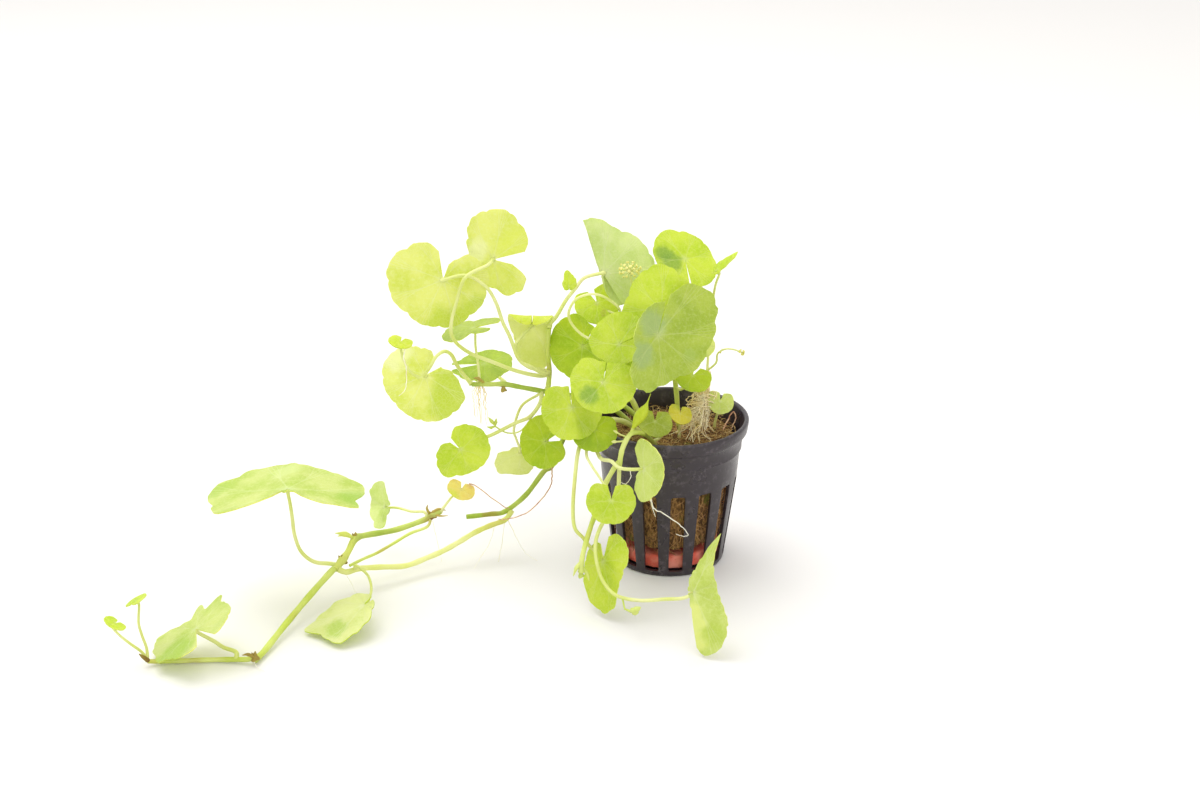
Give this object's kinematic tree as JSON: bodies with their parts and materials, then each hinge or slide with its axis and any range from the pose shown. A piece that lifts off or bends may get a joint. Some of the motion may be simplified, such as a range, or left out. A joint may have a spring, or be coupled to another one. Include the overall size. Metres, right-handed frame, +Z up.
{
  "type": "potted brazilian pennywort",
  "caption": "Aquarium plant with round scalloped leaves on long stalks and trailing runners, rooted in rockwool in a slotted black net pot.",
  "frame": {"origin": "centre of the pot's base, on the surface that the pot stands on", "axes": "+Z up, -Y towards the front of the picture, runners trail to -X"},
  "size_m": [0.1962, 0.1114, 0.12],
  "materials": {
    "pot_plastic": "satin, injection moulded",
    "fired_clay": "matt, unglazed",
    "rockwool": "matt, fibrous",
    "root": "matt",
    "leaf_dark": "soft satin",
    "leaf_light": "soft satin",
    "stem": "soft satin"
  },
  "bodies": {
    "root": {"clay_disc": "fired_clay", "flower_buds": "leaf_light", "flower_head": "leaf_light", "hanging_roots": "root", "leaf_arched_large": "leaf_light", "leaf_bract": "leaf_light", "leaf_crown_dark": "leaf_dark", "leaf_crown_low": "leaf_light", "leaf_crown_middle": "leaf_light", "leaf_crown_upper": "leaf_light", "leaf_dark_left": "leaf_dark", "leaf_far_folded": "leaf_light", "leaf_floor_pointed": "leaf_light", "leaf_floor_standing": "leaf_light", "leaf_floor_tall": "leaf_light", "leaf_front_folded": "leaf_light", "leaf_front_kidney": "leaf_light", "leaf_front_large": "leaf_light", "leaf_hanging_pale": "leaf_light", "leaf_hanging_round": "leaf_light", "leaf_left_cupped": "leaf_light", "leaf_left_flat": "leaf_light", "leaf_left_inner": "leaf_light", "leaf_left_large": "leaf_light", "leaf_left_low": "leaf_light", "leaf_left_top": "leaf_light", "leaf_left_young": "leaf_light", "leaf_looped": "leaf_light", "leaf_pot_dark": "leaf_dark", "leaf_pot_pale": "leaf_light", "leaf_pot_round": "leaf_light", "leaf_pot_yellow": "leaf_light", "leaf_right_pale": "leaf_light", "leaf_rim_dark": "leaf_dark", "leaf_rim_folded": "leaf_light", "leaf_rim_round": "leaf_light", "leaf_tall_folded": "leaf_light", "leaf_tip_first": "leaf_light", "leaf_tip_second": "leaf_light", "leaf_top_edge": "leaf_light", "leaf_top_round": "leaf_light", "leaf_upright_small": "leaf_light", "leaf_yellow": "leaf_light", "net_pot": "pot_plastic", "rockwool_plug": "rockwool", "root_clump": "root", "runner_dark": "stem", "runner_floor": "stem", "runner_lower": "stem", "runner_pale": "stem", "runner_thin": "stem", "runner_tip": "stem", "runner_upper": "stem", "stem_front_buds": "stem", "stem_over_front": "stem", "stem_over_rim": "stem", "stem_upright_back": "stem", "stem_upright_left": "stem", "stem_upright_outer": "stem", "young_shoot": "leaf_light"}
  },
  "joints": []
}
